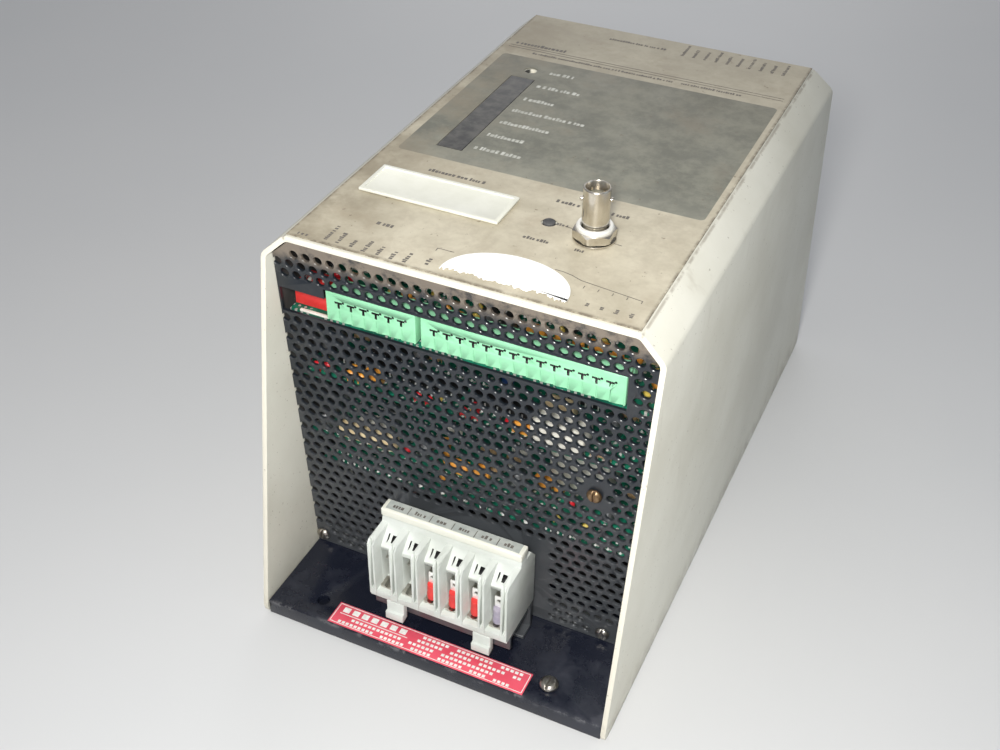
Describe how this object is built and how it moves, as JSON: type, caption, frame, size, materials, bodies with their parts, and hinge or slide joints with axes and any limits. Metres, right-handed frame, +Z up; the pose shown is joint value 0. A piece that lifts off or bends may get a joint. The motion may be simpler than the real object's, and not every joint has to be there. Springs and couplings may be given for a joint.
{
  "type": "servo drive",
  "caption": "Panel-mounted servo drive with a folded cover, perforated end panels, pluggable connectors, a barrier terminal block and a coaxial socket.",
  "frame": {"origin": "middle of the underside of the bounding box", "axes": "+Z up out of the labelled top face, -Y towards the end with the terminal block and green plugs, +X to the right as seen from that end"},
  "size_m": [0.152, 0.2815, 0.1913],
  "materials": {
    "black_plate": "black anodised plate, satin",
    "red_film": "printed vinyl film",
    "zinc_steel": "zinc-plated steel",
    "cream_paint": "fine satin paint, scuffed",
    "label_film": "printed polycarbonate film, grimy",
    "window_film": "smoked clear film",
    "paper": "uncoated paper",
    "black_sheet": "black painted sheet",
    "aluminium": "mill finish",
    "nickel": "nickel plate",
    "white_plastic": "moulded, off-white",
    "pale_plastic": "moulded, cream",
    "black_plastic": "moulded, black",
    "green_board": "solder-masked laminate",
    "green_plastic": "moulded, light green",
    "red_plastic": "moulded, red",
    "core_steel": "varnished laminations"
  },
  "bodies": {
    "housing": {"base_plate": "black_plate", "bus_capacitor_1": "black_plastic", "bus_capacitor_2": "black_plastic", "card_rail_left": "aluminium", "card_rail_right": "aluminium", "caution_label": "red_film", "clip_foot_left": "white_plastic", "clip_foot_right": "white_plastic", "coax_body": "nickel", "coax_insulator": "white_plastic", "coax_nut": "nickel", "coax_washer": "nickel", "control_board": "green_board", "cover": "cream_paint", "foot_bracket_front": "aluminium", "foot_bracket_rear": "aluminium", "front_panel": "black_sheet", "ground_screw": "zinc_steel", "header_left": "green_plastic", "header_rear": "green_plastic", "header_right": "green_plastic", "heat_sink": "aluminium", "indicator_board": "green_board", "label_overlay": "label_film", "led_bar": "black_plastic", "led_window": "window_film", "marker_strip": "pale_plastic", "panel_screw_left": "zinc_steel", "panel_screw_middle": "zinc_steel", "panel_screw_right": "zinc_steel", "paper_sticker": "paper", "port_connector": "black_plastic", "power_board": "green_board", "power_module": "black_plastic", "processor_board": "green_board", "rear_panel": "black_sheet", "relay": "pale_plastic", "reset_switch": "black_plastic", "status_light_pipe": "window_film", "switch_body": "red_plastic", "terminal_block": "white_plastic", "terminal_rail": "black_sheet", "transformer": "core_steel"},
    "reset": {"reset_button": "pale_plastic"},
    "port_lid": {"port_cover": "pale_plastic"},
    "left_plug": {"plug_left": "green_plastic"},
    "right_plug": {"plug_right": "green_plastic"},
    "rear_plug": {"plug_rear": "green_plastic"},
    "lever_1": {"switch_lever_1": "white_plastic"},
    "screw_1": {"clamp_screw_1": "zinc_steel"},
    "lever_2": {"switch_lever_2": "white_plastic"},
    "screw_2": {"clamp_screw_2": "zinc_steel"},
    "lever_3": {"switch_lever_3": "white_plastic"},
    "screw_3": {"clamp_screw_3": "zinc_steel"},
    "lever_4": {"switch_lever_4": "white_plastic"},
    "screw_4": {"clamp_screw_4": "zinc_steel"},
    "lever_5": {"switch_lever_5": "white_plastic"},
    "screw_5": {"clamp_screw_5": "zinc_steel"},
    "lever_6": {"switch_lever_6": "white_plastic"},
    "screw_6": {"clamp_screw_6": "zinc_steel"}
  },
  "joints": [
    {"name": "reset_press", "type": "slide", "parent": "housing", "child": "reset", "axis": [0, 0, -1], "range_m": [0, 0.001], "stiffness_N_per_m": 300, "springref_m": -0.001},
    {"name": "port_lid_lift", "type": "slide", "parent": "housing", "child": "port_lid", "axis": [0, 0, 1], "range_m": [0, 0.02]},
    {"name": "left_plug_pull", "type": "slide", "parent": "housing", "child": "left_plug", "axis": [0, -1, 0], "range_m": [0, 0.012]},
    {"name": "right_plug_pull", "type": "slide", "parent": "housing", "child": "right_plug", "axis": [0, -1, 0], "range_m": [0, 0.012]},
    {"name": "rear_plug_pull", "type": "slide", "parent": "housing", "child": "rear_plug", "axis": [0, 1, 0], "range_m": [0, 0.012]},
    {"name": "lever_1_slide", "type": "slide", "parent": "housing", "child": "lever_1", "axis": [0, -1, 0], "range_m": [0, 0.002]},
    {"name": "lever_2_slide", "type": "slide", "parent": "housing", "child": "lever_2", "axis": [0, 1, 0], "range_m": [0, 0.002]},
    {"name": "lever_3_slide", "type": "slide", "parent": "housing", "child": "lever_3", "axis": [0, 1, 0], "range_m": [0, 0.002]},
    {"name": "lever_4_slide", "type": "slide", "parent": "housing", "child": "lever_4", "axis": [0, -1, 0], "range_m": [0, 0.002]},
    {"name": "lever_5_slide", "type": "slide", "parent": "housing", "child": "lever_5", "axis": [0, 1, 0], "range_m": [0, 0.002]},
    {"name": "lever_6_slide", "type": "slide", "parent": "housing", "child": "lever_6", "axis": [0, 1, 0], "range_m": [0, 0.002]},
    {"name": "clamp_screw_1_turn", "type": "hinge", "parent": "housing", "child": "screw_1", "pos_m": [-0.02381, -0.1199, 0.03105], "axis": [0, 1, 0], "range_deg": [0, 360]},
    {"name": "clamp_screw_2_turn", "type": "hinge", "parent": "housing", "child": "screw_2", "pos_m": [-0.01429, -0.1199, 0.03105], "axis": [0, 1, 0], "range_deg": [0, 360]},
    {"name": "clamp_screw_3_turn", "type": "hinge", "parent": "housing", "child": "screw_3", "pos_m": [-0.00476, -0.1199, 0.03105], "axis": [0, 1, 0], "range_deg": [0, 360]},
    {"name": "clamp_screw_4_turn", "type": "hinge", "parent": "housing", "child": "screw_4", "pos_m": [0.00476, -0.1199, 0.03105], "axis": [0, 1, 0], "range_deg": [0, 360]},
    {"name": "clamp_screw_5_turn", "type": "hinge", "parent": "housing", "child": "screw_5", "pos_m": [0.01429, -0.1199, 0.03105], "axis": [0, 1, 0], "range_deg": [0, 360]},
    {"name": "clamp_screw_6_turn", "type": "hinge", "parent": "housing", "child": "screw_6", "pos_m": [0.02381, -0.1199, 0.03105], "axis": [0, 1, 0], "range_deg": [0, 360]}
  ]
}
